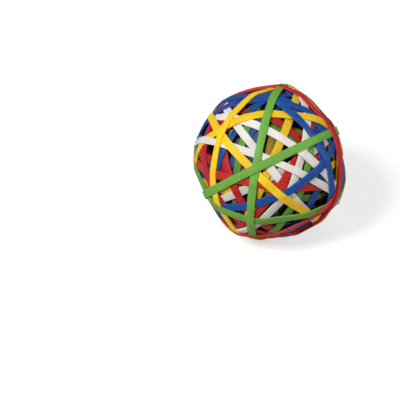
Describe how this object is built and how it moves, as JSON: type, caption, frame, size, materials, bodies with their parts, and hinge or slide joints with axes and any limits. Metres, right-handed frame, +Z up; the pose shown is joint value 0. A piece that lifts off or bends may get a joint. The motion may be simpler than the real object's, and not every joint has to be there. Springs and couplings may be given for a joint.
{
  "type": "rubber band ball",
  "caption": "Ball wound from flat coloured rubber bands, each pulled tight over the ones beneath, resting on a small flat spot.",
  "frame": {"origin": "middle of the ball's footprint, on the surface that it rests on", "axes": "+Z up from the surface, -Y towards the side that the picture shows, +X to the right of that view"},
  "size_m": [0.0688, 0.0704, 0.0663],
  "materials": {
    "red_rubber": "satin",
    "blue_rubber": "satin",
    "green_rubber": "satin",
    "yellow_rubber": "satin",
    "white_rubber": "satin",
    "inner_rubber": "satin"
  },
  "bodies": {
    "root": {"blue_band_01": "blue_rubber", "blue_band_04": "blue_rubber", "blue_band_06": "blue_rubber", "blue_band_12": "blue_rubber", "blue_band_18": "blue_rubber", "blue_band_22": "blue_rubber", "blue_band_25": "blue_rubber", "blue_band_26": "blue_rubber", "blue_band_28": "blue_rubber", "blue_band_40": "blue_rubber", "blue_band_43": "blue_rubber", "green_band_02": "green_rubber", "green_band_05": "green_rubber", "green_band_09": "green_rubber", "green_band_30": "green_rubber", "green_band_31": "green_rubber", "green_band_32": "green_rubber", "green_band_37": "green_rubber", "green_band_39": "green_rubber", "inner_bands": "inner_rubber", "red_band_03": "red_rubber", "red_band_08": "red_rubber", "red_band_11": "red_rubber", "red_band_14": "red_rubber", "red_band_15": "red_rubber", "red_band_16": "red_rubber", "red_band_17": "red_rubber", "red_band_33": "red_rubber", "red_band_34": "red_rubber", "red_band_36": "red_rubber", "red_band_38": "red_rubber", "red_band_41": "red_rubber", "white_band_07": "white_rubber", "white_band_19": "white_rubber", "white_band_20": "white_rubber", "white_band_21": "white_rubber", "white_band_24": "white_rubber", "yellow_band_10": "yellow_rubber", "yellow_band_13": "yellow_rubber", "yellow_band_23": "yellow_rubber", "yellow_band_27": "yellow_rubber", "yellow_band_29": "yellow_rubber", "yellow_band_35": "yellow_rubber", "yellow_band_42": "yellow_rubber"}
  },
  "joints": []
}
